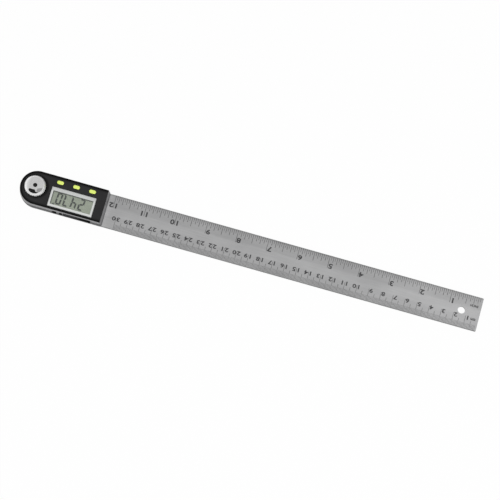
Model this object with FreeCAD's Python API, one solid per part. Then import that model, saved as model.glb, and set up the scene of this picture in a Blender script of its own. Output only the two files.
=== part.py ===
"""Folding digital angle rule: two steel rules on one hinge, with a display head on the upper one.

Millimetres. The origin is on the hinge axis, level with the underside of the lower rule.
+X runs along both closed rules to their square ends, +Z comes out of the display.
"""
import FreeCAD, Part
import math
import os

Vector = FreeCAD.Vector
UP = Vector(0, 0, 1)

# ---------------------------------------------------------------- driving dimensions
# The two rules
rule_width = 28.0
rule_thickness = 1.0
rule_reach = 369.3            # hinge axis to the square end
rule_gap = 0.25               # between the two rules
rule_corner = 0.6
rule_end_centre = 2.9         # centre of the round end, ahead of the hinge axis
hang_hole_radius = 3.0
hang_hole_inset = 15.2        # from the square end

# Head: outline and walls
head_end_centre = 1.9         # centre of the round end of frame and cover
head_foot = 59.0              # hinge axis to the foot of the sloping end
end_slope_run = 2.2
head_corner = 1.0             # cut off beside the sloping end
wall = 1.2
end_wall = 3.6                # measured at the foot
base_height = 2.1
base_floor = 0.5
base_lip = 0.45               # the base's skirt round the edge of the rule
deck_thickness = 0.8
cover_edge = 2.1              # the cover's rim over the frame
cover_round = 1.9             # rounding of the rim
cover_skin = 1.2
cover_plug = 0.6              # how far the cover's rib reaches into the frame
cover_rib = 0.8
cover_fit = 0.1

# Display stack
window_start = 13.2           # hinge axis to the near edge
window_end_gap = 5.6          # from the square end of the cavity
window_side_gap = 0.45        # from the long side of the cavity
window_thickness = 0.5
window_sink = 0.1
bezel_thickness = 0.3
bezel_left = 1.65
bezel_right = 1.75
bezel_top = 2.95
bezel_bottom = 2.15
lcd_thickness = 1.1
lcd_rim = 0.6                 # hidden edge of the panel round the bezel's opening
zebra_height = 0.7
zebra_width = 0.8
seat_fit = 0.1                # all-round fit of window, bezel and panel

# Circuit boards
board_thickness = 0.8
board_standoff = 0.8
board_start = 9.0             # hinge axis to the near edge of the main board
board_fit = 0.3
pad_radius = 1.2
chip_radius = 3.5
chip_height = 0.5
chip_bevel = 0.3

# Buttons
button_near_inset = 5.35      # window's near end to the first button
button_far_inset = 4.75       # last button to the window's far end
button_side_gap = 4.2         # from the long side of the cavity
button_gap = 4.3              # window's edge to the middle of the buttons
button_length = 5.5
button_width = 2.9
button_height = 0.45          # above the cover
button_bevel = 0.25
button_travel = 0.3
button_fit = 0.15
button_flange = 0.6
flange_thickness = 0.45
plunger_width = 1.6
dome_radius = 1.8
dome_crown = 0.9              # radius of the flat on top
dome_height = 0.2
running_gap = 0.05

# Battery drawer
cell_radius = 10.0
cell_thickness = 3.2
cell_cap_radius = 8.6
cell_step = 0.5
cell_fit = 0.15
drawer_floor = 0.35
drawer_rim = 0.9
drawer_shoulder = 0.5         # front plate beyond the tray, each side
drawer_front_rise = 1.3       # front plate above the cell
drawer_fit = 0.15
slide_fit = 0.05
contact_space = 0.65
contact_sheet = 0.25
contact_width = 4.0
notch_length = 8.0
notch_depth = 0.9
notch_rim = 0.35              # plate left above and below the notch
port_lengths = (3.3, 2.4)
port_leads = (8.7, 3.05)      # start of each port ahead of the drawer
port_bottom = 0.35            # above the rule
port_height = 4.4
port_depth = 0.9
port_fit = 0.05
port_recess = 0.4             # its plug behind the side

# Hinge
hub_flange = 2.9              # the hub beyond its spigot
hub_floor = 1.5
hub_rise = 0.25               # above the base
hub_fit = 0.3
boss_radius = 5.0
journal_fit = 0.05
clamp_washer_thickness = 0.25
shoulder_radius = 6.2
rivet_count = 3
rivet_radius = 1.0
shim_inset = 0.2              # from the rule's round end
rotor_overhang = 0.3          # rotor beyond the hub
rotor_inset = 1.0             # rotor inside the sensor board
sensor_gap = 0.3
sensor_clearance = 0.7        # from the wall of the cavity
pin_count = 4
pin_pitch = 2.0
pin_width = 0.5
pin_inset = 0.9               # from the edge of the sensor board

# Lock knob and its screw
knob_radius = 8.4
knob_height = 4.0             # above the cover
knob_wall = 2.4               # top of the upright part above the cover
knob_bevel = 1.2
knob_undercut = 1.0
knob_sink = 0.4               # recess in the cover
knob_clearance = 0.6          # between the knob and the recess's wall
knob_hole_radius = 1.65
knob_hole_depth = 1.5
knob_web = 0.3                # between the hole and the screw
knurl_count = 32
knurl_depth = 0.2
knob_washer_thickness = 0.3
screw_radius = 2.0
screw_fit = 0.05
screw_point = 0.6
screw_tip_cover = 0.7         # metal left under the screw's tip
screw_bore = 2.3

# Housing screws
case_screw_radius = 1.0
case_screw_head = 1.9
case_screw_slot_width = 0.5
case_screw_slot_depth = 0.3
case_post_radius = 1.9
case_screw_near = 12.2         # hinge axis to the first pair
case_screw_end_gap = 3.0       # from the square end of the cavity
case_post_inset = 0.2          # from the long side of the cavity
case_screw_top_gap = 0.4       # below the cover's skin

# ---------------------------------------------------------------- levels, from the underside up
lower_rule_top = rule_thickness
upper_rule_bottom = lower_rule_top + rule_gap
upper_rule_top = upper_rule_bottom + rule_thickness
bay_floor = upper_rule_top + base_floor
drawer_bottom = bay_floor + slide_fit
cell_bottom = drawer_bottom + drawer_floor
cell_top = cell_bottom + cell_thickness
drawer_front_bottom = upper_rule_top + slide_fit
drawer_front_top = cell_top + drawer_front_rise
deck_bottom = cell_top + contact_space
deck_top = deck_bottom + deck_thickness
board_bottom = deck_top + board_standoff
board_top = board_bottom + board_thickness
lcd_bottom = board_top + zebra_height
lcd_top = lcd_bottom + lcd_thickness
bezel_top_level = lcd_top + bezel_thickness
window_top = bezel_top_level + window_thickness
cover_top = window_top + window_sink
frame_top = cover_top - cover_edge
rib_bottom = frame_top - cover_plug
skin_bottom = cover_top - cover_skin
case_screw_top = skin_bottom - case_screw_top_gap
base_top = upper_rule_top + base_height

hub_floor_top = lower_rule_top + hub_floor
boss_bottom = hub_floor_top + clamp_washer_thickness + slide_fit
hub_top = base_top + hub_rise
rotor_top = hub_top + board_thickness
sensor_bottom = rotor_top + sensor_gap
sensor_top = sensor_bottom + board_thickness

knob_floor = cover_top - knob_sink
boss_top = knob_floor - slide_fit - knob_washer_thickness
knob_bottom = knob_floor
knob_top = cover_top + knob_height
screw_bottom = screw_tip_cover + screw_fit
screw_top = knob_top - knob_hole_depth - knob_web

# ---------------------------------------------------------------- plan sizes
half_head = rule_width / 2
half_cavity = half_head - wall
cavity_end = head_foot - end_wall
button_row_y = half_cavity - button_side_gap
window_x0 = window_start
window_x1 = cavity_end - window_end_gap
window_y0 = -half_cavity + window_side_gap
window_y1 = button_row_y - button_gap
view_x0 = window_x0 + bezel_left
view_x1 = window_x1 - bezel_right
view_y0 = window_y0 + bezel_bottom
view_y1 = window_y1 - bezel_top
lcd_x0, lcd_x1 = view_x0 - lcd_rim, view_x1 + lcd_rim
lcd_y0, lcd_y1 = view_y0 - lcd_rim, view_y1 + lcd_rim
first_button, last_button = window_x0 + button_near_inset, window_x1 - button_far_inset
button_row = [first_button, (first_button + last_button) / 2, last_button]
drawer_end = window_x1
drawer_start = drawer_end - 2 * (cell_radius + drawer_rim + drawer_shoulder)
cell_x = (drawer_start + drawer_end) / 2
cell_y = -half_cavity + drawer_rim + cell_radius
drawer_back = cell_y + cell_radius + cell_fit + drawer_rim
leaf_y = cell_y + cell_radius + slide_fit
sensor_radius = half_cavity - head_end_centre - sensor_clearance
rotor_radius = sensor_radius - rotor_inset
hub_radius = rotor_radius - rotor_overhang
spigot_radius = hub_radius - hub_flange
rivet_circle = (spigot_radius + hub_radius) / 2
shim_outer = rule_width / 2 - rule_end_centre - shim_inset
pin_row_x = sensor_radius - pin_inset
case_screw_side = half_cavity - case_post_radius - case_post_inset
case_screw_far = cavity_end - case_screw_end_gap
case_screws = [(x, y) for x in (case_screw_near, case_screw_far) for y in (-case_screw_side, case_screw_side)]


# ---------------------------------------------------------------- small helpers
def cylinder(radius, low, high, x=0.0, y=0.0):
    return Part.makeCylinder(radius, high - low, Vector(x, y, low))


def ring(inner, outer, low, high):
    return cylinder(outer, low, high).cut(cylinder(inner, low, high))


def block(x0, x1, y0, y1, low, high):
    return Part.makeBox(x1 - x0, y1 - y0, high - low, Vector(x0, y0, low))


def capsule(x, y, length, width, low, high):
    """An upright solid with a slot-shaped plan, long side along X."""
    radius = width / 2
    reach = length / 2 - radius
    a, b = Vector(x - reach, y - radius, low), Vector(x + reach, y - radius, low)
    c, d = Vector(x + reach, y + radius, low), Vector(x - reach, y + radius, low)
    edges = [
        Part.LineSegment(a, b).toShape(),
        Part.Arc(b, Vector(x + reach + radius, y, low), c).toShape(),
        Part.LineSegment(c, d).toShape(),
        Part.Arc(d, Vector(x - reach - radius, y, low), a).toShape(),
    ]
    return Part.Face(Part.Wire(edges)).extrude(UP * (high - low))


def round_ended(half_width, end, low, high, centre):
    """A slab with a half-round end about x = centre and a square end."""
    a, b = Vector(centre, -half_width, low), Vector(end, -half_width, low)
    c, d = Vector(end, half_width, low), Vector(centre, half_width, low)
    edges = [
        Part.LineSegment(a, b).toShape(),
        Part.LineSegment(b, c).toShape(),
        Part.LineSegment(c, d).toShape(),
        Part.Arc(d, Vector(centre - half_width, 0, low), a).toShape(),
    ]
    return Part.Face(Part.Wire(edges)).extrude(UP * (high - low))


def revolved(profile):
    """A solid turned about the hinge axis from (radius, height) points."""
    points = [Vector(radius, 0, height) for radius, height in profile]
    face = Part.Face(Part.makePolygon(points + points[:1]))
    return face.revolve(Vector(0, 0, 0), UP, 360)


def beyond_slope():
    """Everything past the head's sloping end."""
    top = head_foot - end_slope_run
    far = head_foot + rule_width
    outline = [
        Vector(head_foot, -rule_width, upper_rule_top),
        Vector(top, -rule_width, cover_top),
        Vector(far, -rule_width, cover_top),
        Vector(far, -rule_width, upper_rule_top),
    ]
    face = Part.Face(Part.makePolygon(outline + outline[:1]))
    return face.extrude(Vector(0, 2 * rule_width, 0))


def head_slab(half_width, low, high, centre=head_end_centre):
    """One layer of the head's outer shape, with its sloping end."""
    slab = round_ended(half_width, head_foot, low, high, centre)
    half = (high - low) / 2
    corners = [e for e in slab.Edges if e.BoundBox.XMin > cavity_end and e.BoundBox.ZLength > half]
    return slab.makeChamfer(head_corner, corners).cut(beyond_slope())


def case_screw_columns(radius, low, high):
    return [cylinder(radius, low, high, x, y) for x, y in case_screws]


def drawer_mouth():
    """The drawer's way out through the side of base and frame."""
    return block(drawer_start, drawer_end, -half_head - base_lip, -half_cavity, upper_rule_top,
                 drawer_front_top + slide_fit)


def side_ports(fit, recess):
    """Two blind slots in the side, in line with the drawer, or with some fit the plugs in them."""
    low = upper_rule_top + port_bottom
    starts = [drawer_start - lead for lead in port_leads]
    return [block(start + fit, start + length - fit, -half_head + recess, -half_head + port_depth,
                  low + fit, low + port_height - fit) for start, length in zip(starts, port_lengths)]


def save(name, *solids):
    shape = solids[0] if len(solids) == 1 else Part.makeCompound(list(solids))
    shape.exportStep(os.path.join("parts", name + ".step"))


# ---------------------------------------------------------------- rules
def rule(bottom, hinge_hole):
    slab = round_ended(rule_width / 2, rule_reach, bottom, bottom + rule_thickness, rule_end_centre)
    corners = [e for e in slab.Edges
               if e.BoundBox.XMin > rule_reach - 0.01 and e.BoundBox.ZLength > rule_thickness / 2]
    slab = slab.makeFillet(rule_corner, corners)
    hang_hole = cylinder(hang_hole_radius, bottom, bottom + rule_thickness, rule_reach - hang_hole_inset)
    return slab.cut([hang_hole, cylinder(hinge_hole, bottom, bottom + rule_thickness)])


def lower_rule():
    return rule(0, spigot_radius).cut(rivets())


def upper_rule():
    sinks = [Part.makeCone(case_screw_head, case_screw_radius, case_screw_head - case_screw_radius,
                           Vector(x, y, upper_rule_bottom)) for x, y in case_screws]
    holes = case_screw_columns(case_screw_radius, upper_rule_bottom, upper_rule_top)
    return rule(upper_rule_bottom, hub_radius + hub_fit).cut(sinks + holes)


# ---------------------------------------------------------------- hinge, lower side
def rivets():
    top = lower_rule_top + hub_floor
    steps = [2 * math.pi * (i + 0.5) / rivet_count for i in range(rivet_count)]
    return [cylinder(rivet_radius, 0, top, rivet_circle * math.cos(a), rivet_circle * math.sin(a))
            for a in steps]


def hinge_hub():
    cup = revolved([
        (0, 0), (spigot_radius, 0), (spigot_radius, lower_rule_top), (hub_radius, lower_rule_top),
        (hub_radius, hub_top), (boss_radius + journal_fit, hub_top),
        (boss_radius + journal_fit, hub_floor_top), (0, hub_floor_top),
    ])
    return cup.cut(rivets() + [cylinder(screw_radius, screw_tip_cover, hub_floor_top)])


def rotor_ring():
    return ring(boss_radius + hub_fit, rotor_radius, hub_top, rotor_top)


def spacer_shim():
    return ring(hub_radius + hub_fit, shim_outer, lower_rule_top, upper_rule_bottom - slide_fit)


def clamp_washer():
    return ring(screw_bore, boss_radius - journal_fit, hub_floor_top, hub_floor_top + clamp_washer_thickness)


# ---------------------------------------------------------------- head
def head_base():
    """A shallow tray, with a skirt that holds the rule by its edge."""
    shell = head_slab(half_head + base_lip, upper_rule_bottom, base_top, rule_end_centre)
    rule_way = round_ended(half_head, rule_reach, upper_rule_bottom, upper_rule_top, rule_end_centre)
    cavity = round_ended(half_cavity, cavity_end, bay_floor, base_top, rule_end_centre)
    hub_way = cylinder(hub_radius + hub_fit, upper_rule_top, bay_floor)
    bores = case_screw_columns(case_screw_radius, upper_rule_top, bay_floor)
    return shell.cut([rule_way, cavity, hub_way, drawer_mouth()] + bores + side_ports(0, -base_lip))


def head_frame():
    shell = head_slab(half_head, base_top, frame_top)
    shell = shell.cut(round_ended(half_cavity, cavity_end, base_top, frame_top, head_end_centre))
    deck = round_ended(half_cavity, cavity_end, deck_bottom, deck_top, head_end_centre)
    shoulder = cylinder(shoulder_radius, sensor_top, deck_bottom)
    boss = cylinder(boss_radius, boss_bottom, boss_top)
    posts = case_screw_columns(case_post_radius, bay_floor, deck_bottom)
    frame = shell.fuse([deck, shoulder, boss] + posts + board_pads())
    bores = case_screw_columns(case_screw_radius, bay_floor, deck_top)
    screw_way = cylinder(screw_bore, boss_bottom, boss_top)
    pin_slot = block(pin_row_x - pin_width, pin_row_x + pin_width,
                     -pin_pitch * pin_count / 2, pin_pitch * pin_count / 2, deck_bottom, deck_top)
    cell_leaf_slot = block(cell_x - contact_width, cell_x + contact_width / 2 + slide_fit,
                           cell_y - contact_width / 2 - slide_fit, cell_y + contact_width / 2 + slide_fit,
                           deck_bottom, deck_top)
    rim_leaf_slot = block(cell_x - contact_width / 2 - slide_fit, cell_x + contact_width / 2 + slide_fit,
                          leaf_y - slide_fit, leaf_y + contact_sheet + slide_fit, deck_bottom, deck_top)
    cuts = [screw_way, pin_slot, cell_leaf_slot, rim_leaf_slot, drawer_mouth()]
    return frame.cut(cuts + bores + side_ports(0, -base_lip)).removeSplitter()


def board_pads():
    """Four pads on the deck that carry the main board."""
    pad_xs = (button_row[0] - pad_radius * 2, button_row[2] + pad_radius * 2)
    pad_y = case_screw_side - pad_radius * 2
    return [cylinder(pad_radius, deck_top, board_bottom, x, y) for x in pad_xs for y in (-pad_y, pad_y)]


def front_cover():
    rim = head_slab(half_head, frame_top, cover_top)
    top_face = max(rim.Faces, key=lambda face: face.CenterOfMass.z)
    long_edges = [e for e in top_face.OuterWire.Edges if e.BoundBox.XMin < window_x0]
    rim = rim.makeFillet(cover_round, long_edges)
    rib_half, rib_end = half_cavity - cover_fit, cavity_end - cover_fit
    rib = round_ended(rib_half, rib_end, rib_bottom, frame_top, head_end_centre)
    hollow = round_ended(rib_half - cover_rib, rib_end - cover_rib, rib_bottom, skin_bottom, head_end_centre)
    posts = case_screw_columns(case_post_radius, deck_top, skin_bottom)
    shell = rim.fuse(rib).cut(hollow).fuse(posts)
    panel_way = block(lcd_x0 - seat_fit, lcd_x1 + seat_fit, lcd_y0 - seat_fit, lcd_y1 + seat_fit,
                      skin_bottom, lcd_top)
    window_seat = block(window_x0, window_x1, window_y0, window_y1, lcd_top, cover_top)
    button_ways = [capsule(x, button_row_y, button_length + 2 * button_fit, button_width + 2 * button_fit,
                           skin_bottom, cover_top) for x in button_row]
    knob_recess = cylinder(knob_radius + knob_clearance, knob_floor - slide_fit * 2, cover_top)
    boss_way = cylinder(boss_radius + cover_fit, skin_bottom, cover_top)
    bores = case_screw_columns(case_screw_radius, deck_top, case_screw_top)
    return shell.cut([panel_way, window_seat, knob_recess, boss_way] + button_ways + bores).removeSplitter()


def case_screw(x, y):
    sink = case_screw_head - case_screw_radius
    head = Part.makeCone(case_screw_head, case_screw_radius, sink, Vector(x, y, upper_rule_bottom))
    shank = cylinder(case_screw_radius, upper_rule_bottom, case_screw_top, x, y)
    half_slot = case_screw_slot_width / 2
    drive = block(x - case_screw_head, x + case_screw_head, y - half_slot, y + half_slot,
                  upper_rule_bottom, upper_rule_bottom + case_screw_slot_depth)
    return head.fuse(shank).cut(drive).removeSplitter()


# ---------------------------------------------------------------- display
def display_bezel():
    frame = block(window_x0 + seat_fit, window_x1 - seat_fit, window_y0 + seat_fit, window_y1 - seat_fit,
                  lcd_top, bezel_top_level)
    return frame.cut(block(view_x0, view_x1, view_y0, view_y1, lcd_top, bezel_top_level))


def display_window():
    pane = block(window_x0 + seat_fit, window_x1 - seat_fit, window_y0 + seat_fit, window_y1 - seat_fit,
                 bezel_top_level, window_top)
    top_face = max(pane.Faces, key=lambda face: face.CenterOfMass.z)
    return pane.makeChamfer(window_sink, top_face.OuterWire.Edges)


def lcd_panel():
    """The liquid crystal glass: a front sheet and a longer rear sheet."""
    half = (lcd_bottom + lcd_top) / 2
    front = block(lcd_x0, lcd_x1, lcd_y0 + zebra_width, lcd_y1 - zebra_width, half, lcd_top)
    rear = block(lcd_x0, lcd_x1, lcd_y0, lcd_y1, lcd_bottom, half)
    return front.fuse(rear)


def zebra_strips():
    rows = (lcd_y0 + seat_fit, lcd_y1 - seat_fit - zebra_width)
    return [block(view_x0, view_x1, y, y + zebra_width, board_top, lcd_bottom) for y in rows]


# ---------------------------------------------------------------- boards and contacts
def main_board():
    board = block(board_start, cavity_end - board_fit, -half_cavity + board_fit, half_cavity - board_fit,
                  board_bottom, board_top)
    return board.cut(case_screw_columns(case_post_radius + board_fit, board_bottom, board_top))


def chip_cap():
    """The blob of resin over the chip, under the board."""
    x = (board_start + drawer_start) / 2
    cap = cylinder(chip_radius, board_bottom - chip_height, board_bottom, x)
    low_edge = [e for e in cap.Edges if e.BoundBox.ZMax < board_bottom - chip_height / 2]
    return cap.makeChamfer(chip_bevel, low_edge)


def dome_switches():
    return [Part.makeCone(dome_radius, dome_crown, dome_height, Vector(x, button_row_y, board_top))
            for x in button_row]


def sensor_board():
    return ring(boss_radius + journal_fit, sensor_radius, sensor_bottom, sensor_top)


def sensor_pins():
    half = pin_width / 2
    rows = [pin_pitch * (i - (pin_count - 1) / 2) for i in range(pin_count)]
    return [block(pin_row_x - half, pin_row_x + half, y - half, y + half, sensor_top, board_bottom)
            for y in rows]


def cell_contact():
    """The bent leaf that presses on the top of the cell."""
    low = cell_top + slide_fit
    root = cell_x - contact_width + contact_sheet
    y0, y1 = cell_y - contact_width / 2, cell_y + contact_width / 2
    stem = block(root, root + contact_sheet, y0, y1, low, board_bottom)
    foot = block(root, cell_x + contact_width / 2, y0, y1, low, low + contact_sheet)
    return stem.fuse(foot).removeSplitter()


def rim_contact():
    """The upright leaf that bears on the rim of the cell."""
    x0, x1 = cell_x - contact_width / 2, cell_x + contact_width / 2
    return block(x0, x1, leaf_y, leaf_y + contact_sheet, cell_bottom + drawer_floor, board_bottom)


# ---------------------------------------------------------------- battery drawer
def battery_drawer():
    front = block(drawer_start + drawer_fit, drawer_end - drawer_fit, -half_head, -half_cavity,
                  drawer_front_bottom, drawer_front_top)
    body = block(cell_x - cell_radius - drawer_rim, cell_x + cell_radius + drawer_rim, -half_cavity,
                 drawer_back, drawer_bottom, cell_top)
    pocket = cylinder(cell_radius + cell_fit, cell_bottom, cell_top, cell_x, cell_y)
    leaf_gap = block(cell_x - contact_width, cell_x + contact_width, cell_y, drawer_back,
                     cell_bottom, cell_top)
    notch_end = drawer_end - drawer_rim
    nail_notch = block(notch_end - notch_length, notch_end, -half_head, -half_head + notch_depth,
                       drawer_front_bottom + notch_rim, drawer_front_top - notch_rim)
    return front.fuse(body).cut([pocket, leaf_gap, nail_notch]).removeSplitter()


def port_plugs():
    """Soft plugs in the two slots beside the drawer."""
    return side_ports(port_fit, port_recess)


def coin_cell():
    step = cell_top - cell_step
    can = [(0, cell_bottom), (cell_radius, cell_bottom), (cell_radius, step),
           (cell_cap_radius, step), (cell_cap_radius, cell_top), (0, cell_top)]
    return revolved(can).translated(Vector(cell_x, cell_y, 0))


# ---------------------------------------------------------------- buttons
def button(x):
    flange_top = skin_bottom - running_gap
    cap = capsule(x, button_row_y, button_length, button_width, flange_top, cover_top + button_height)
    top_face = max(cap.Faces, key=lambda face: face.CenterOfMass.z)
    cap = cap.makeChamfer(button_bevel, top_face.OuterWire.Edges)
    flange = capsule(x, button_row_y, button_length + 2 * button_flange, button_width + 2 * button_flange,
                     flange_top - flange_thickness, flange_top)
    tip = board_top + dome_height + button_travel + running_gap
    half = plunger_width / 2
    plunger = block(x - half, x + half, button_row_y - half, button_row_y + half, tip, flange_top)
    return cap.fuse([flange, plunger]).removeSplitter()


# ---------------------------------------------------------------- lock knob
def knurl_ring():
    """Straight V grooves round the knob's upright wall."""
    low, high = knob_bottom + knob_undercut, cover_top + knob_wall
    root, tip = knob_radius - knurl_depth, knob_radius + knurl_depth
    step = math.pi / knurl_count
    points = [Vector(r * math.cos(a), r * math.sin(a), low)
              for i in range(knurl_count)
              for r, a in ((root, 2 * i * step), (tip, (2 * i + 1) * step))]
    star = Part.Face(Part.makePolygon(points + points[:1])).extrude(UP * (high - low))
    return cylinder(knob_radius + knurl_depth, low, high).cut(star)


def lock_knob():
    shoulder = cover_top + knob_wall
    hole_floor = knob_top - knob_hole_depth
    knob = revolved([
        (0, knob_bottom), (knob_radius - knob_undercut, knob_bottom),
        (knob_radius, knob_bottom + knob_undercut), (knob_radius, shoulder),
        (knob_radius - knob_bevel, knob_top), (knob_hole_radius, knob_top),
        (knob_hole_radius, hole_floor), (0, hole_floor),
    ])
    return knob.cut([knurl_ring(), cylinder(screw_radius - screw_fit, knob_bottom, screw_top)])


def lock_screw():
    radius = screw_radius - screw_fit
    return revolved([(0, screw_bottom), (radius - screw_point, screw_bottom),
                     (radius, screw_bottom + screw_point), (radius, screw_top), (0, screw_top)])


def knob_washer():
    return ring(screw_bore, boss_radius, boss_top, boss_top + knob_washer_thickness)


# ---------------------------------------------------------------- write every part
os.makedirs("parts", exist_ok=True)

save("lower_rule", lower_rule())
save("hinge_hub", hinge_hub())
save("hub_rivets", *rivets())
save("rotor_ring", rotor_ring())
save("spacer_shim", spacer_shim())
save("clamp_washer", clamp_washer())

save("upper_rule", upper_rule())
save("head_base", head_base())
save("head_frame", head_frame())
save("front_cover", front_cover())
save("case_screws", *[case_screw(x, y) for x, y in case_screws])
save("display_bezel", display_bezel())
save("display_window", display_window())
save("lcd_panel", lcd_panel())
save("zebra_strips", *zebra_strips())
save("main_board", main_board())
save("chip_cap", chip_cap())
save("dome_switches", *dome_switches())
save("sensor_board", sensor_board())
save("sensor_pins", *sensor_pins())
save("cell_contact", cell_contact())
save("rim_contact", rim_contact())
save("port_plugs", *port_plugs())
save("knob_washer", knob_washer())

save("battery_drawer", battery_drawer())
save("coin_cell", coin_cell())

for button_name, button_x in zip(("zero_button", "hold_button", "power_button"), button_row):
    save(button_name, button(button_x))

save("lock_knob", lock_knob())
save("lock_screw", lock_screw())
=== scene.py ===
import math

import bpy
import numpy as np
from mathutils import Matrix, Vector


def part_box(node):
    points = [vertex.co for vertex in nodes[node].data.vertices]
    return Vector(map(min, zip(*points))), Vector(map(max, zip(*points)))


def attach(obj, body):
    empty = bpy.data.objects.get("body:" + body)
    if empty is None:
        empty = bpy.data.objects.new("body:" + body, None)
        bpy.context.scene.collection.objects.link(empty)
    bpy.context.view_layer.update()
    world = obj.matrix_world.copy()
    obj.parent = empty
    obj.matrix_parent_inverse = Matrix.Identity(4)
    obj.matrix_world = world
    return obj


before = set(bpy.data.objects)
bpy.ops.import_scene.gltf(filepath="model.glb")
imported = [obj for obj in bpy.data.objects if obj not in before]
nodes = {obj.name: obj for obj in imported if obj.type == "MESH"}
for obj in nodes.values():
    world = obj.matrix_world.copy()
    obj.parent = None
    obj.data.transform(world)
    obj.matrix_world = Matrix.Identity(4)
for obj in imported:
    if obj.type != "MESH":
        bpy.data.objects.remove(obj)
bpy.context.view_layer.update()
mm = 0.001
print("frame loaded:", len(nodes), "nodes")


# How a node graph is written here: one call adds a node, sets it up and wires its inputs.
def addNode(tree, kind, inputs=None, **settings):
    node = tree.nodes.new("ShaderNode" + kind)
    for key, value in settings.items():
        setattr(node, key, value)
    for socket, value in (inputs or {}).items():
        if isinstance(value, bpy.types.NodeSocket):
            tree.links.new(value, node.inputs[socket])
        else:
            node.inputs[socket].default_value = value
    return node


def calculate(tree, operation, *values):
    # one step of arithmetic
    return addNode(tree, "Math", dict(enumerate(values)), operation=operation).outputs[0]


def newFinish(name):
    # a fresh material, its node tree and its shader
    material = bpy.data.materials.new(name)
    material.use_nodes = True
    return material, material.node_tree, material.node_tree.nodes["Principled BSDF"]


def objectPoint(tree, stretch=(1, 1, 1)):
    # object coordinates, each times its stretch
    coordinates = addNode(tree, "TexCoord").outputs["Object"]
    return addNode(tree, "VectorMath", {0: coordinates, 1: stretch}, operation="MULTIPLY").outputs[0]


def noiseOf(tree, stretch, detail):
    # a stretch of n gives about n specks to the metre
    inputs = {"Vector": objectPoint(tree, stretch), "Scale": 1.0, "Detail": detail}
    return addNode(tree, "TexNoise", inputs).outputs["Fac"]


def blendOf(tree, first, second, share):
    # share of the first value plus the rest of the second
    return calculate(tree, "MULTIPLY_ADD", first, share, calculate(tree, "MULTIPLY", second, 1 - share))


# nearly all of the noise lies between these two values
noiseSpan = (0.3, 0.7)


def rampOf(tree, factor, tones):
    # from the first tone to the second over the noise's span
    ramp = addNode(tree, "ValToRGB", {"Fac": factor})
    for element, place, tone in zip(ramp.color_ramp.elements, noiseSpan, tones):
        element.position = place
        element.color = (*tone, 1)
    return ramp.outputs["Color"]


def spanOf(tree, factor, low, high):
    # from low to high over the noise's span
    least, most = noiseSpan
    inputs = {"Value": factor, "From Min": least, "From Max": most, "To Min": low, "To Max": high}
    return addNode(tree, "MapRange", inputs).outputs["Result"]


def radiusOf(tree, centre=(0, 0, 0)):
    # distance from the hinge axis, or from an axis beside it
    point = objectPoint(tree)
    flat = addNode(tree, "VectorMath", {0: point, 1: (1, 1, 0)}, operation="MULTIPLY").outputs[0]
    return addNode(tree, "VectorMath", {0: flat, 1: centre}, operation="DISTANCE").outputs["Value"]


def besideAxis(x, y):
    # distance from an upright axis
    def distance(tree):
        return radiusOf(tree, (x * mm, y * mm, 0))
    return distance


def placeAlong(axis):
    # one of the three object coordinates
    def place(tree):
        return addNode(tree, "SeparateXYZ", {0: objectPoint(tree)}).outputs[axis]
    return place


def aroundLine(startX, startY):
    # Distance from a line that runs from one point towards +X: past the point only Y counts.
    def distance(tree):
        along = calculate(tree, "SUBTRACT", placeAlong("X")(tree), startX * mm)
        beyond = calculate(tree, "MINIMUM", along, 0.0)
        across = calculate(tree, "SUBTRACT", placeAlong("Y")(tree), startY * mm)
        offset = addNode(tree, "CombineXYZ", {"X": beyond, "Y": across}).outputs[0]
        return addNode(tree, "VectorMath", {0: offset}, operation="LENGTH").outputs["Value"]
    return distance


def insideEdges(left, top):
    # distance from the nearer of two edges, one along Y and one along X
    def distance(tree):
        across = calculate(tree, "SUBTRACT", placeAlong("X")(tree), left * mm)
        down = calculate(tree, "SUBTRACT", top * mm, placeAlong("Y")(tree))
        return calculate(tree, "MINIMUM", across, down)
    return distance


def stepsOf(tree, along, stops):
    # A factor read off between stops, each a place in mm and the factor there.
    first, last = stops[0][0], stops[-1][0]
    inputs = {"Value": along, "From Min": first * mm, "From Max": last * mm}
    ramp = addNode(tree, "ValToRGB", {"Fac": addNode(tree, "MapRange", inputs).outputs["Result"]})
    for stop in stops[1:-1]:
        ramp.color_ramp.elements.new((stop[0] - first) / (last - first))
    for element, stop in zip(ramp.color_ramp.elements, stops):
        element.color = (stop[1], stop[1], stop[1], 1)
    return ramp.outputs["Color"]


def setShader(shader, values):
    # values that are the same all over the surface
    for socket, value in values.items():
        shader.inputs[socket].default_value = value


# the values of a look that doesn't name them itself
plainLook = {"detail": 3.0, "cloudDetail": 2.0, "grainShare": 0.5, "shades": [], "fixed": {}}


def finishSurface(name, look, grain=None):
    # Fine grain and slow clouding share out the tone; the grain alone sets roughness and relief.
    # Each of a look's shades, a measure and its stops, multiplies the tone by a factor.
    material, tree, shader = newFinish(name)
    look = dict(plainLook, **look)
    grain = grain(tree) if grain else noiseOf(tree, look["grain"], look["detail"])
    clouds = noiseOf(tree, look["clouds"], look["cloudDetail"])
    colour = rampOf(tree, blendOf(tree, grain, clouds, look["grainShare"]), look["tones"])
    for measure, stops in look["shades"]:
        factor = stepsOf(tree, measure(tree), stops)
        colour = addNode(tree, "VectorMath", {0: colour, 1: factor}, operation="MULTIPLY").outputs[0]
    tree.links.new(colour, shader.inputs["Base Color"])
    tree.links.new(spanOf(tree, grain, *look["roughness"]), shader.inputs["Roughness"])
    bump = addNode(tree, "Bump", {"Height": grain, "Distance": look["relief"], "Strength": 1.0})
    tree.links.new(bump.outputs["Normal"], shader.inputs["Normal"])
    setShader(shader, look["fixed"])
    return material


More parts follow.
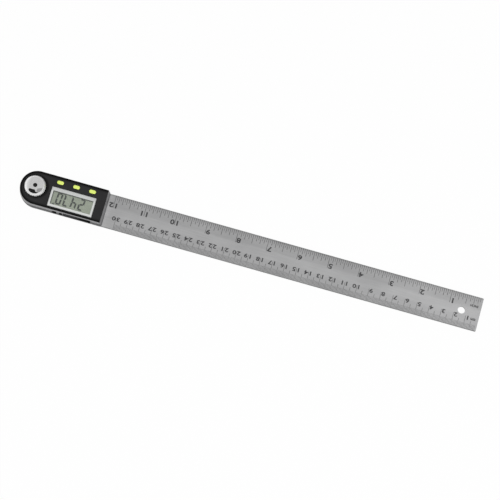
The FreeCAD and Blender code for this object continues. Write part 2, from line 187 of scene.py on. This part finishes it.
def turnedRings(pitch, wander=0.35, detail=2.0):
    # Noise along the distance from the hinge axis: the fine rings that a lathe tool leaves.
    # A share of the height is added, so that the rings run on down an upright side.
    def grain(tree):
        level = calculate(tree, "MULTIPLY", placeAlong("Z")(tree), wander)
        along = calculate(tree, "ADD", radiusOf(tree), level)
        inputs = {"W": calculate(tree, "DIVIDE", along, pitch), "Scale": 1.0, "Detail": detail}
        return addNode(tree, "TexNoise", inputs, noise_dimensions="1D").outputs["Fac"]
    return grain


# Steel rules: brushed lengthwise
ruleLook = {
    "tones": ((0.234, 0.234, 0.236), (0.314, 0.314, 0.316)),
    "grain": (55, 5200, 5200), "clouds": (38, 60, 60), "grainShare": 0.55, "detail": 4.0,
    "roughness": (0.34, 0.46), "relief": 0.000004,
    # across the rule: painted shade at its edges and painted light along the bare middle
    "shades": [(placeAlong("Y"), ((-14.0, 0.70), (-13.95, 0.70), (-13.85, 1.10), (-5.0, 1.10), (-2.5, 1.17),
                                  (3.0, 1.14), (5.0, 1.03), (12.0, 1.03), (12.6, 0.94), (13.4, 0.78),
                                  (14.0, 0.72)))],
    "fixed": {"Metallic": 1.0},
}
lowerSteel = finishSurface("lowerSteel", ruleLook)
# along the upper rule: painted light at the head's foot, and painted shade a little past the middle
paintedLightAlongRule = (placeAlong("X"), ((57.0, 1.0), (58.0, 1.25), (60.8, 1.25), (62.2, 1.12), (66.0, 1.03),
                               (130.0, 1.04), (150.0, 1.0), (200.0, 0.99), (225.0, 0.955), (300.0, 0.965),
                               (320.0, 1.0), (369.3, 1.0)))
upperSteel = finishSurface("upperSteel", dict(ruleLook, shades=ruleLook["shades"] + [paintedLightAlongRule]))

# Cover: black moulded plastic with a fine spark grain
coverLook = {
    "tones": ((0.0219, 0.0219, 0.0226), (0.0331, 0.0329, 0.0338)),
    "grain": (4200, 4200, 4200), "clouds": (90, 90, 90), "grainShare": 0.6,
    "roughness": (0.42, 0.58), "relief": 0.000012,
    # painted shade: darker down the rounded edge, along the rim of the outline, and in and round the recess
    # for the knob
    "shades": [(placeAlong("Z"), ((10.0, 0.3), (11.4, 0.35), (12.08, 1.0), (12.2, 1.0))),
               (aroundLine(1.9, -0.6), ((0.0, 1.0), (11.0, 1.0), (11.8, 0.75), (12.4, 0.4), (12.9, 0.1),
                                        (13.6, 0.02), (14.8, 0.02))),
               (besideAxis(1.2, 0.5), ((7.0, 0.25), (9.2, 0.3), (10.1, 0.85), (11.0, 1.0), (60.0, 1.0)))],
    "fixed": {"Specular IOR Level": 0.06},
}
coverBlack = finishSurface("coverBlack", coverLook)

frameLook = {
    "tones": ((0.214, 0.214, 0.218), (0.262, 0.262, 0.268)),
    "grain": (3000, 3000, 3000), "clouds": (70, 70, 70), "grainShare": 0.6,
    "roughness": (0.36, 0.50), "relief": 0.000008,
    # painted shade on the sloping end
    "shades": [(placeAlong("X"), ((-13.0, 1.0), (56.4, 1.0), (56.8, 0.76), (58.7, 0.74), (59.0, 0.85)))],
    "fixed": {"Metallic": 0.1},
}
frameGrey = finishSurface("frameGrey", frameLook)

# the base keeps the frame's painted shade on the sloping end
baseLook = dict(frameLook, tones=((0.050, 0.050, 0.052), (0.067, 0.067, 0.069)))
baseGrey = finishSurface("baseGrey", baseLook)

# Knob: turned and polished alloy
knobLook = {
    "tones": ((0.67, 0.67, 0.67), (0.81, 0.81, 0.81)),
    "clouds": (160, 160, 160), "grainShare": 0.7,
    "roughness": (0.24, 0.36), "relief": 0.000006,
    # painted shade in the bore, the flat top darker than the rim round it; then painted highlights towards
    # both sides along X
    "shades": [(radiusOf, ((1.0, 0.02), (1.66, 0.02), (1.76, 0.70), (6.9, 0.70), (7.1, 1.0), (9.0, 1.0))),
               (placeAlong("X"), ((-8.4, 1.16), (-7.2, 1.16), (-7.0, 1.28), (-5.6, 1.18), (-4.2, 1.0),
                                  (6.2, 1.0), (7.4, 1.14), (8.4, 1.16)))],
    "fixed": {"Metallic": 0.75},
}
knobMetal = finishSurface("knobMetal", knobLook, turnedRings(0.16 * mm))

hubLook = dict(knobLook, tones=((0.40, 0.40, 0.41), (0.50, 0.50, 0.51)), roughness=(0.28, 0.42), shades=[])
hubSteel = finishSurface("hubSteel", hubLook, turnedRings(0.22 * mm))

screwLook = {
    "tones": ((0.30, 0.30, 0.31), (0.46, 0.46, 0.47)),
    "grain": (2600, 2600, 2600), "clouds": (300, 300, 300),
    "roughness": (0.30, 0.45), "relief": 0.000006,
    "fixed": {"Metallic": 1.0},
}
screwSteel = finishSurface("screwSteel", screwLook)

# Buttons: yellow-green silicone, satin on top
buttonLook = {
    "tones": ((0.74, 0.93, 0.15), (0.86, 0.99, 0.22)),
    "grain": (2400, 2400, 2400), "clouds": (260, 260, 260), "grainShare": 0.4,
    "roughness": (0.26, 0.38), "relief": 0.000004,
    "fixed": {"Subsurface Weight": 0.08, "Subsurface Radius": (0.0008, 0.0008, 0.0003),
              "Coat Weight": 0.2, "Coat Roughness": 0.15},
}
buttonYellow = finishSurface("buttonYellow", buttonLook)

# Battery drawer and the plugs beside it: black plastic, with painted light and shade on the drawer's front,
# paler towards the hinge and darker away from it
drawerLook = dict(
    coverLook, tones=((0.0095, 0.0095, 0.0105), (0.015, 0.015, 0.016)),
    shades=[(placeAlong("X"), ((26.5, 2.8), (33.0, 2.2), (38.0, 1.2), (42.0, 0.9), (50.0, 0.6)))],
    fixed={"Specular IOR Level": 0.03})
drawerBlack = finishSurface("drawerBlack", drawerLook)
plugLook = dict(drawerLook, tones=((0.004, 0.004, 0.004), (0.007, 0.007, 0.007)), shades=[])
plugBlack = finishSurface("plugBlack", plugLook)

# Display: printed border, grey-green glass, clear pane
bezelLook = {
    "tones": ((0.62, 0.63, 0.62), (0.70, 0.71, 0.70)),
    "grain": (5200, 5200, 5200), "clouds": (120, 120, 120), "grainShare": 0.5,
    "roughness": (0.40, 0.52), "relief": 0.000003,
    # painted light: the border is lifted all round against the shade that the cover's wall casts on it, all
    # but the strip along +Y, which is the darker
    "shades": [(placeAlong("Y"), ((-12.5, 1.20), (1.0, 1.17), (1.6, 0.97), (4.5, 0.97)))],
}
bezelPrint = finishSurface("bezelPrint", bezelLook)

panelLow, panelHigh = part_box("lcd_panel")
panelRim = 0.6
lcdLook = {
    "tones": ((0.280, 0.316, 0.250), (0.365, 0.408, 0.318)),
    "grain": (5200, 5200, 5200), "clouds": (75, 75, 75), "grainShare": 0.35,
    "roughness": (0.30, 0.40), "relief": 0.000001,
    # the bezel's shade along two edges, inside the panel's rim
    "shades": [(insideEdges(panelLow.x / mm + panelRim, panelHigh.y / mm - panelRim),
                ((-1.0, 0.25), (0.7, 0.25), (1.1, 0.93), (4.0, 1.0), (12.0, 1.0)))],
}
lcdGlass = finishSurface("lcdGlass", lcdLook)

paneLook = {
    "tones": ((0.40, 0.42, 0.41), (0.50, 0.52, 0.51)),
    "grain": (900, 900, 900), "clouds": (60, 60, 60),
    "roughness": (0.05, 0.09), "relief": 0.0000004,
    "fixed": {"Alpha": 0.06, "IOR": 1.49},
}
windowClear = finishSurface("windowClear", paneLook)

# Inner parts
rubberLook = {
    "tones": ((0.06, 0.06, 0.07), (0.42, 0.36, 0.40)),
    "grain": (5000, 60, 60), "clouds": (100, 100, 100), "grainShare": 0.95,
    "roughness": (0.55, 0.70), "relief": 0.000004,
}
zebraRubber = finishSurface("zebraRubber", rubberLook)

boardLook = {
    "tones": ((0.010, 0.075, 0.030), (0.022, 0.130, 0.050)),
    "grain": (700, 2600, 700), "clouds": (320, 320, 320), "grainShare": 0.45,
    "roughness": (0.28, 0.42), "relief": 0.000010,
    "fixed": {"Coat Weight": 0.3, "Coat Roughness": 0.2},
}
boardGreen = finishSurface("boardGreen", boardLook)

resinLook = {
    "tones": ((0.006, 0.006, 0.007), (0.014, 0.013, 0.014)),
    "grain": (500, 500, 500), "clouds": (200, 200, 200),
    "roughness": (0.14, 0.30), "relief": 0.000020,
}
chipResin = finishSurface("chipResin", resinLook)

brassLook = {
    "tones": ((0.55, 0.40, 0.14), (0.72, 0.54, 0.22)),
    "grain": (80, 3600, 80), "clouds": (240, 240, 240),
    "roughness": (0.22, 0.36), "relief": 0.000003,
    "fixed": {"Metallic": 1.0},
}
contactBrass = finishSurface("contactBrass", brassLook)

nylonLook = {
    "tones": ((0.66, 0.65, 0.61), (0.76, 0.75, 0.71)),
    "grain": (2200, 2200, 2200), "clouds": (150, 150, 150),
    "roughness": (0.40, 0.54), "relief": 0.000008,
}
nylonWhite = finishSurface("nylonWhite", nylonLook)

cellLook = {
    "tones": ((0.52, 0.52, 0.51), (0.66, 0.66, 0.65)),
    "grain": (1500, 1500, 1500), "clouds": (110, 110, 110), "grainShare": 0.4,
    "roughness": (0.16, 0.30), "relief": 0.000004,
    "fixed": {"Metallic": 1.0},
}
cellSteel = finishSurface("cellSteel", cellLook)

# Ink: of the scales, of the display's figures and of the marks on the knob, which are partly painted
# reflections
inkLook = {
    "tones": ((0.018, 0.018, 0.019), (0.040, 0.040, 0.042)),
    "grain": (6000, 6000, 6000), "clouds": (150, 150, 150),
    "roughness": (0.50, 0.64), "relief": 0.000002,
}
etchedInk = finishSurface("etchedInk", inkLook)
segmentLook = dict(inkLook, tones=((0.006, 0.010, 0.007), (0.012, 0.018, 0.014)))
segmentInk = finishSurface("segmentInk", segmentLook)
arrowInkAndReflectionLook = dict(inkLook, tones=((0.005, 0.005, 0.005), (0.010, 0.010, 0.010)),
                    fixed={"Specular IOR Level": 0.1})
arrowInkAndReflection = finishSurface("arrowInkAndReflection", arrowInkAndReflectionLook)
tailInkAndReflection = finishSurface("tailInkAndReflection", dict(inkLook, tones=((0.24, 0.24, 0.24), (0.32, 0.32, 0.32))))

nodeFinishes = {
    "upper_rule": upperSteel, "lower_rule": lowerSteel,
    "hinge_hub": hubSteel, "hub_rivets": hubSteel, "rotor_ring": boardGreen, "spacer_shim": nylonWhite,
    "clamp_washer": nylonWhite, "knob_washer": nylonWhite, "lock_knob": knobMetal, "lock_screw": screwSteel,
    "head_base": baseGrey, "head_frame": frameGrey, "front_cover": coverBlack, "case_screws": screwSteel,
    "display_bezel": bezelPrint, "display_window": windowClear, "lcd_panel": lcdGlass,
    "zebra_strips": zebraRubber, "main_board": boardGreen, "sensor_board": boardGreen,
    "sensor_pins": contactBrass, "cell_contact": contactBrass, "rim_contact": contactBrass,
    "chip_cap": chipResin, "dome_switches": screwSteel,
    "battery_drawer": drawerBlack, "port_plugs": plugBlack, "coin_cell": cellSteel,
    "zero_button": buttonYellow, "hold_button": buttonYellow, "power_button": buttonYellow,
}
for nodeName, finish in nodeFinishes.items():
    mesh = nodes[nodeName].data
    mesh.materials.clear()
    mesh.materials.append(finish)
print("finishes set on", len(nodeFinishes), "nodes")


def newPiece(name, points, faces, finish, body):
    # a mesh piece from points in mm, riding on a body
    mesh = bpy.data.meshes.new(name)
    mesh.from_pydata((points * mm).tolist(), [], faces)
    mesh.materials.append(finish)
    mesh.update()
    piece = bpy.data.objects.new(name, mesh)
    bpy.context.scene.collection.objects.link(piece)
    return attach(piece, body)


def joinShapes(shapes):
    # several (points, faces) pairs as one pair
    points, faces, count = [], [], 0
    for shapePoints, shapeFaces in shapes:
        points.append(shapePoints)
        faces.extend([tuple(index + count for index in face) for face in shapeFaces])
        count += len(shapePoints)
    return np.concatenate(points), faces


def plateOf(outline, low, high):
    # An outline that runs anticlockwise, carried straight up from one level to another and closed.
    outline = np.asarray(outline, float)
    count = len(outline)
    points = np.concatenate([np.column_stack([outline, np.full(count, level)]) for level in (low, high)])
    around = [(i, (i + 1) % count, (i + 1) % count + count, i + count) for i in range(count)]
    return points, [tuple(range(count - 1, -1, -1)), tuple(range(count, 2 * count))] + around


def barRow(places, widths, starts, ends, low, high):
    # Thin upright-sided bars along Y, one at each place along X, all worked out at once.
    corner = np.array([[-1, 0, 0], [1, 0, 0], [1, 1, 0], [-1, 1, 0],
                       [-1, 0, 1], [1, 0, 1], [1, 1, 1], [-1, 1, 1]])
    x = places[:, None] + corner[:, 0] * widths[:, None] / 2
    y = np.where(corner[:, 1] == 0, starts[:, None], ends[:, None])
    z = np.broadcast_to(np.where(corner[:, 2] == 0, low, high), x.shape)
    sides = np.array([[3, 2, 1, 0], [4, 5, 6, 7], [0, 1, 5, 4], [1, 2, 6, 5], [2, 3, 7, 6], [3, 0, 4, 7]])
    faces = sides[None] + len(corner) * np.arange(len(places))[:, None, None]
    return np.stack([x, y, z], -1).reshape(-1, 3), [tuple(face) for face in faces.reshape(-1, 4).tolist()]


# Scales: etched on both rules and counted from the square tip. The words are read along -X, with their
# tops towards -Y. The ticks run in from the +Y edge for inches and from the -Y edge for centimetres.
inchScale = {
    # length of the unit, its parts, how many units, and how far inside the tip the ticks' count starts
    "unit": 25.4, "parts": 16, "count": 12, "inset": 0.62, "fromLowEdge": False,
    # for each share of a unit, from fine to coarse, the length and the width of its ticks
    "ticks": {16: (3.8, 0.28), 8: (5.3, 0.31), 4: (6.4, 0.31), 2: (8.0, 0.31), 1: (10.6, 0.31)},
    # pitch is that of two digits; the shifts along X are those of one digit, of 10 to 19 and of the rest
    "figures": {"height": 4.25, "y": 5.4, "weight": 0.035, "pitch": 4.05, "shifts": (1.6, -0.7, -0.7)},
    "word": {"text": "INCH", "height": 2.1, "y": 5.9, "inset": 6.0, "weight": 0.04},
}
cmScale = {
    "unit": 10.0, "parts": 10, "count": 30, "inset": 0.78, "fromLowEdge": True,
    "ticks": {10: (4.4, 0.215), 2: (6.9, 0.27), 1: (10.2, 0.27)},
    "figures": {"height": 3.55, "y": -5.0, "weight": 0.03, "pitch": 3.6, "shifts": (1.15, -1.05, -0.6)},
    "word": {"text": "cm", "height": 1.9, "y": -5.1, "inset": 4.4, "weight": 0.04},
}
scaleLook = {"scales": (inchScale, cmScale), "edgeGap": 0.1, "ink": 0.02, "embed": 0.01, "stretch": 1.28}


def tickSizes(counts, parts, sizes):
    # Length and width at each count: those of the coarsest share of the unit that the count falls on.
    result = np.zeros((len(counts), 2))
    for share, size in sizes.items():
        result[counts % (parts // share) == 0] = size
    return result.T


# the letters made so far, and how finely their curves are divided
glyphs = {}
glyphSteps = 3


def glyphOf(words, weight):
    # Letters as a closed flat shape, one unit high, centred on the origin.
    key = (words, weight)
    if key not in glyphs:
        curve = bpy.data.curves.new("figure", "FONT")
        curve.body, curve.resolution_u, curve.offset = words, glyphSteps, weight
        curve.extrude = 0.5
        holder = bpy.data.objects.new("figure", curve)
        bpy.context.scene.collection.objects.link(holder)
        bpy.context.view_layer.update()
        mesh = bpy.data.meshes.new_from_object(holder.evaluated_get(bpy.context.evaluated_depsgraph_get()))
        points = np.zeros(len(mesh.vertices) * 3)
        mesh.vertices.foreach_get("co", points)
        points = points.reshape(-1, 3)
        faces = [tuple(polygon.vertices) for polygon in mesh.polygons]
        low, high = points.min(0), points.max(0)
        tall, thick = high[1] - low[1], high[2] - low[2]
        glyphs[key] = (points - (low + high) / 2) / [tall, tall, thick], faces
        bpy.data.objects.remove(holder)
        bpy.data.meshes.remove(mesh)
        bpy.data.curves.remove(curve)
    return glyphs[key]


def placedWords(words, look, x, low, high, stretch=1.0):
    # turned half round, so that they read along -X
    points, faces = glyphOf(words, look["weight"])
    flat = [x, look["y"]] - points[:, :2] * look["height"] * [stretch, 1]
    level = np.where(points[:, 2] < 0, low, high)
    return np.column_stack([flat, level]), faces


def figureShapes(scale, tip, stretch, low, high):
    # Each number's digits stand at the tip less that many units, plus the shift for its size.
    look = scale["figures"]
    shapes = []
    for count in range(1, scale["count"] + 1):
        digits = str(count)
        middle = tip - count * scale["unit"] + look["shifts"][min(count // 10, 2)]
        spots = [middle]
        if len(digits) == 2:
            spots = [middle + look["pitch"] / 2, middle - look["pitch"] / 2]
        shapes += [placedWords(digit, look, x, low, high, stretch) for digit, x in zip(digits, spots)]
    return shapes


def etchRule(prefix, nodeName, body, look):
    # Each tick stands at the tip, less the inset, less its count times the unit over the unit's parts.
    tip, side, top = (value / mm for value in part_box(nodeName)[1])
    low, high = top - look["embed"], top + look["ink"]
    ticks, figures, words = [], [], []
    for scale in look["scales"]:
        counts = np.arange(1, scale["count"] * scale["parts"] + 1)
        places = tip - scale["inset"] - counts * scale["unit"] / scale["parts"]
        lengths, widths = tickSizes(counts, scale["parts"], scale["ticks"])
        starts, ends = side - lengths, np.full(len(counts), side - look["edgeGap"])
        if scale["fromLowEdge"]:
            starts, ends = -ends, -starts
        ticks.append(barRow(places, widths, starts, ends, low, high))
        figures += figureShapes(scale, tip, look["stretch"], low, high)
        word = scale["word"]
        words.append(placedWords(word["text"], word, tip - word["inset"], low, high))
    newPiece(prefix + "_ticks", *joinShapes(ticks), etchedInk, body)
    newPiece(prefix + "_figures", *joinShapes(figures + words), etchedInk, body)


etchRule("upper_scale", "upper_rule", "head", scaleLook)
etchRule("lower_scale", "lower_rule", "lower_arm", scaleLook)
print("scales etched")


# Display: four seven-bar figures, a degree ring and a point, read along -X
displayLook = {
    "figures": "2470", "firstFigure": -7.90, "figurePitch": 6.10, "figureWidth": 4.6, "figureHeight": 10.0,
    "figureY": -0.22, "barWidth": 1.35, "barGap": 0.06, "cornerCut": 0.35, "lean": 3.4,
    "degree": {"centre": (13.6, 5.15), "outer": 0.9, "inner": 0.3, "steps": 17},
    "point": {"centre": (7.25, -4.9), "size": 0.75}, "lift": 0.02, "film": 0.03,
}
# a is the top bar, then clockwise to f, and g is the middle one
barsOf = {"2": "abdeg", "4": "bcfg", "7": "abc", "0": "abcdef"}


def flipped(outline, overX, overY):
    # an outline mirrored over one or both axes, still anticlockwise
    outline = outline * [overX, overY]
    return outline[::-1] if overX * overY < 0 else outline


def figureOutlines(figure, look):
    # One end, one side and the middle bar are drawn; mirroring the first two over the axes gives the rest.
    x, y = look["figureWidth"] / 2, look["figureHeight"] / 2
    wide, gap = look["barWidth"], look["barGap"]
    far, near = x - wide - gap, x - wide / 2 - gap
    cut = look["cornerCut"] + gap
    end = np.array([(cut - x, y), (-far, y - wide), (far, y - wide), (x - cut, y)])
    side = np.array([(x, gap), (x, y - cut), (x - wide, y - wide - gap), (x - wide, wide / 2 + gap)])
    middle = np.array([(-near, 0), (-far, -wide / 2), (far, -wide / 2),
                       (near, 0), (far, wide / 2), (-far, wide / 2)])
    bars = {
        "a": end, "b": side, "c": flipped(side, 1, -1), "d": flipped(end, 1, -1),
        "e": flipped(side, -1, -1), "f": flipped(side, -1, 1), "g": middle,
    }
    return [bars[bar] for bar in barsOf[figure]]


def arcPoints(look, radius, start, end):
    # evenly spaced points on a circle, from one angle to another in degrees
    angles = np.radians(np.linspace(start, end, look["steps"]))
    centreX, centreY = look["centre"]
    return np.column_stack([centreX + radius * np.cos(angles), centreY + radius * np.sin(angles)])


outlines = []
for place, figure in enumerate(displayLook["figures"]):
    centre = [displayLook["firstFigure"] + place * displayLook["figurePitch"], displayLook["figureY"]]
    outlines += [outline + centre for outline in figureOutlines(figure, displayLook)]
point, degree = displayLook["point"], displayLook["degree"]
outlines.append(np.array([[-1, -1], [1, -1], [1, 1], [-1, 1]]) * point["size"] / 2 + point["centre"])
for start in (0, 180):
    # half a ring: out along its outer edge and back along its inner one
    outer = arcPoints(degree, degree["outer"], start, start + 180)
    inner = arcPoints(degree, degree["inner"], start + 180, start)
    outlines.append(np.concatenate([outer, inner]))

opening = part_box("zebra_strips")
viewCentre = np.array([(opening[0].x + opening[1].x) / 2, (panelLow.y + panelHigh.y) / 2]) / mm
filmLow = panelHigh.z / mm + displayLook["lift"]
filmHigh = filmLow + displayLook["film"]
slope = math.tan(math.radians(displayLook["lean"]))
bars = []
for outline in outlines:
    leaning = outline + np.column_stack([outline[:, 1] * slope, np.zeros(len(outline))])
    bars.append(plateOf(viewCentre - leaning, filmLow, filmHigh))
newPiece("display_figures", *joinShapes(bars), segmentInk, "head")
print("display lit")


def levelsOf(nodeName, axis, decimals=3):
    # the places in mm along one axis at which a node has vertices
    places = [vertex.co[axis] / mm for vertex in nodes[nodeName].data.vertices]
    return np.unique(np.round(places, decimals))


def frameOf(xs, ys, low, high):
    # A flat rectangular frame between two levels; xs and ys each run outer, inner, inner, outer.
    loops = [[(xs[a], ys[a]), (xs[b], ys[a]), (xs[b], ys[b]), (xs[a], ys[b])] for a, b in ((0, 3), (1, 2))]
    points = np.array([(x, y, z) for z in (low, high) for loop in loops for x, y in loop])
    faces = []
    for i in range(4):
        j = (i + 1) % 4
        faces += [(i, i + 4, j + 4, j), (i + 8, j + 8, j + 12, i + 12), (i, j, j + 8, i + 8),
                  (j + 4, i + 4, i + 12, j + 12)]
    return points, faces


# Window: the border printed on its underside
printLook = {"embed": 0.01, "ink": 0.02}
borderX, borderY, borderZ = (levelsOf("display_bezel", axis) for axis in range(3))
border = frameOf(borderX, borderY, borderZ[-1] - printLook["embed"], borderZ[-1] + printLook["ink"])
# the print takes the bezel's finish, and with it the bezel's painted light
newPiece("window_print", *border, bezelPrint, "head")
print("window border printed")

# Side slots: the soft plugs' lips, which line the slots' floors
lipLook = {"front": 0.8, "thickness": 0.03}
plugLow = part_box("port_plugs")[0] / mm
lipFront = plugLow.y - lipLook["front"]
lips = []
for near, far in levelsOf("port_plugs", 0).reshape(-1, 2):
    outline = [(near, lipFront), (far, lipFront), (far, plugLow.y), (near, plugLow.y)]
    lips.append(plateOf(outline, plugLow.z - lipLook["thickness"], plugLow.z))
newPiece("port_lips", *joinShapes(lips), plugBlack, "head")
print("slots lined")


# Knob: a curved dark arrow for the locking turn and a paler tail, laid where the knob shows its
# reflections, so they are partly painted reflections
arrowAndReflectionLook = {
    # stops: an angle in degrees and the radii of the inner and the outer edge there
    "dark": ((226, 5.1, 5.6), (232, 4.7, 6.6), (245, 4.2, 7.05), (270, 3.7, 7.05), (283, 3.9, 7.05),
             (288, 5.6, 7.05), (299, 6.0, 7.0), (304, 6.4, 6.8)),
    "pale": ((300, 4.6, 5.6), (306, 3.9, 6.5), (318, 3.7, 6.7), (332, 4.0, 6.7), (344, 4.9, 6.6),
             (350, 5.6, 6.3)),
    "step": 2.0, "ink": 0.02, "embed": 0.01,
}


def sweptBand(stops, step):
    # A band round the axis whose two radii run evenly between the stops.
    stops = np.array(stops, float)
    angles = np.arange(stops[0, 0], stops[-1, 0] + step / 2, step)
    inner, outer = (np.interp(angles, stops[:, 0], stops[:, side]) for side in (1, 2))
    angles = np.radians(np.concatenate([angles, angles[::-1]]))
    radii = np.concatenate([outer, inner[::-1]])
    return np.column_stack([radii * np.cos(angles), radii * np.sin(angles)])


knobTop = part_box("lock_knob")[1].z / mm
knobMarksAndReflections = {"knob_arrow": (arrowAndReflectionLook["dark"], arrowInkAndReflection), "knob_arrow_tail": (arrowAndReflectionLook["pale"], tailInkAndReflection)}
for name, (stops, ink) in knobMarksAndReflections.items():
    band = sweptBand(stops, arrowAndReflectionLook["step"])
    newPiece(name, *plateOf(band, knobTop - arrowAndReflectionLook["embed"], knobTop + arrowAndReflectionLook["ink"]), ink, "lock")
print("knob marked")


def whiteRays(tree):
    # 1 for what the camera sees straight or in a reflection or through glass
    path = addNode(tree, "LightPath").outputs
    seen = calculate(tree, "MAXIMUM", path["Is Camera Ray"], path["Is Glossy Ray"])
    return calculate(tree, "MAXIMUM", seen, path["Is Transmission Ray"])


# Floor: pale paper just under the object, nearly white to the camera
white = (1, 1, 1, 1)
floorLook = {
    "size": 8.0, "drop": 0.0002, "whiteShare": 0.97,
    "fixed": {"Base Color": (0.82, 0.82, 0.82, 1), "Roughness": 0.9, "Specular IOR Level": 0.0},
}
half, drop = floorLook["size"] / 2, floorLook["drop"]
floorPoints = [(-half, -half, -drop), (half, -half, -drop), (half, half, -drop), (-half, half, -drop)]
floorMesh = bpy.data.meshes.new("floor")
floorMesh.from_pydata(floorPoints, [], [(0, 1, 2, 3)])
floor = bpy.data.objects.new("floor", floorMesh)
bpy.context.scene.collection.objects.link(floor)
floorPaper, tree, shader = newFinish("floorPaper")
setShader(shader, floorLook["fixed"])
glow = addNode(tree, "Emission", {"Color": white, "Strength": 1.0})
share = calculate(tree, "MULTIPLY", whiteRays(tree), floorLook["whiteShare"])
mix = addNode(tree, "MixShader", {0: share, 1: shader.outputs[0], 2: glow.outputs[0]})
tree.links.new(mix.outputs[0], tree.nodes["Material Output"].inputs["Surface"])
floorMesh.materials.append(floorPaper)

# Light: an even sky, dimmer as a light than to the camera, and two soft boxes
studioLook = {
    "sky": 0.535, "aim": (0.18, 0, 0),
    # place, size and watts of each lamp
    "lamps": [((0.55, -1.10, 1.25), 1.2, 13.1), ((0.95, 0.45, 1.55), 1.2, 4.3)],
}
world = bpy.data.worlds.new("studio")
world.use_nodes = True
bpy.context.scene.world = world
tree = world.node_tree
sky = tree.nodes["Background"]
setShader(sky, {"Color": white, "Strength": studioLook["sky"]})
bright = addNode(tree, "Background", {"Color": white, "Strength": 1.0})
mix = addNode(tree, "MixShader", {0: whiteRays(tree), 1: sky.outputs[0], 2: bright.outputs[0]})
tree.links.new(mix.outputs[0], tree.nodes["World Output"].inputs["Surface"])

for number, (place, size, watts) in enumerate(studioLook["lamps"]):
    lamp = bpy.data.lights.new("softbox" + str(number), "AREA")
    lamp.shape, lamp.size, lamp.energy = "SQUARE", size, watts
    holder = bpy.data.objects.new(lamp.name, lamp)
    holder.location = place
    aim = Vector(studioLook["aim"]) - Vector(place)
    holder.rotation_euler = aim.to_track_quat("-Z", "Y").to_euler()
    bpy.context.scene.collection.objects.link(holder)

# Camera: above, a little towards -Y, and rolled so that the rule runs down to the right
cameraLook = {"target": (0.17843, 0.00030, 0.00233), "distance": 2.555, "tilt": 16.396, "roll": 15.688,
              "lens": 230.13, "sensor": 36, "clips": (0.05, 20)}
tilt, roll = math.radians(cameraLook["tilt"]), math.radians(cameraLook["roll"])
back = Vector((0, -math.sin(tilt), math.cos(tilt)))
upward = Vector((0, math.cos(tilt), math.sin(tilt)))
right = math.cos(roll) * Vector((1, 0, 0)) + math.sin(roll) * upward
over = back.cross(right)
place = Vector(cameraLook["target"]) + back * cameraLook["distance"]
camera = bpy.data.cameras.new("camera")
camera.lens, camera.sensor_width = cameraLook["lens"], cameraLook["sensor"]
camera.clip_start, camera.clip_end = cameraLook["clips"]
cameraHolder = bpy.data.objects.new("camera", camera)
cameraHolder.matrix_world = Matrix((
    (right.x, over.x, back.x, place.x), (right.y, over.y, back.y, place.y),
    (right.z, over.z, back.z, place.z), (0, 0, 0, 1)))
bpy.context.scene.collection.objects.link(cameraHolder)
bpy.context.scene.camera = cameraHolder
bpy.context.scene.view_settings.view_transform = "Standard"
print("studio ready")

bpy.context.view_layer.update()
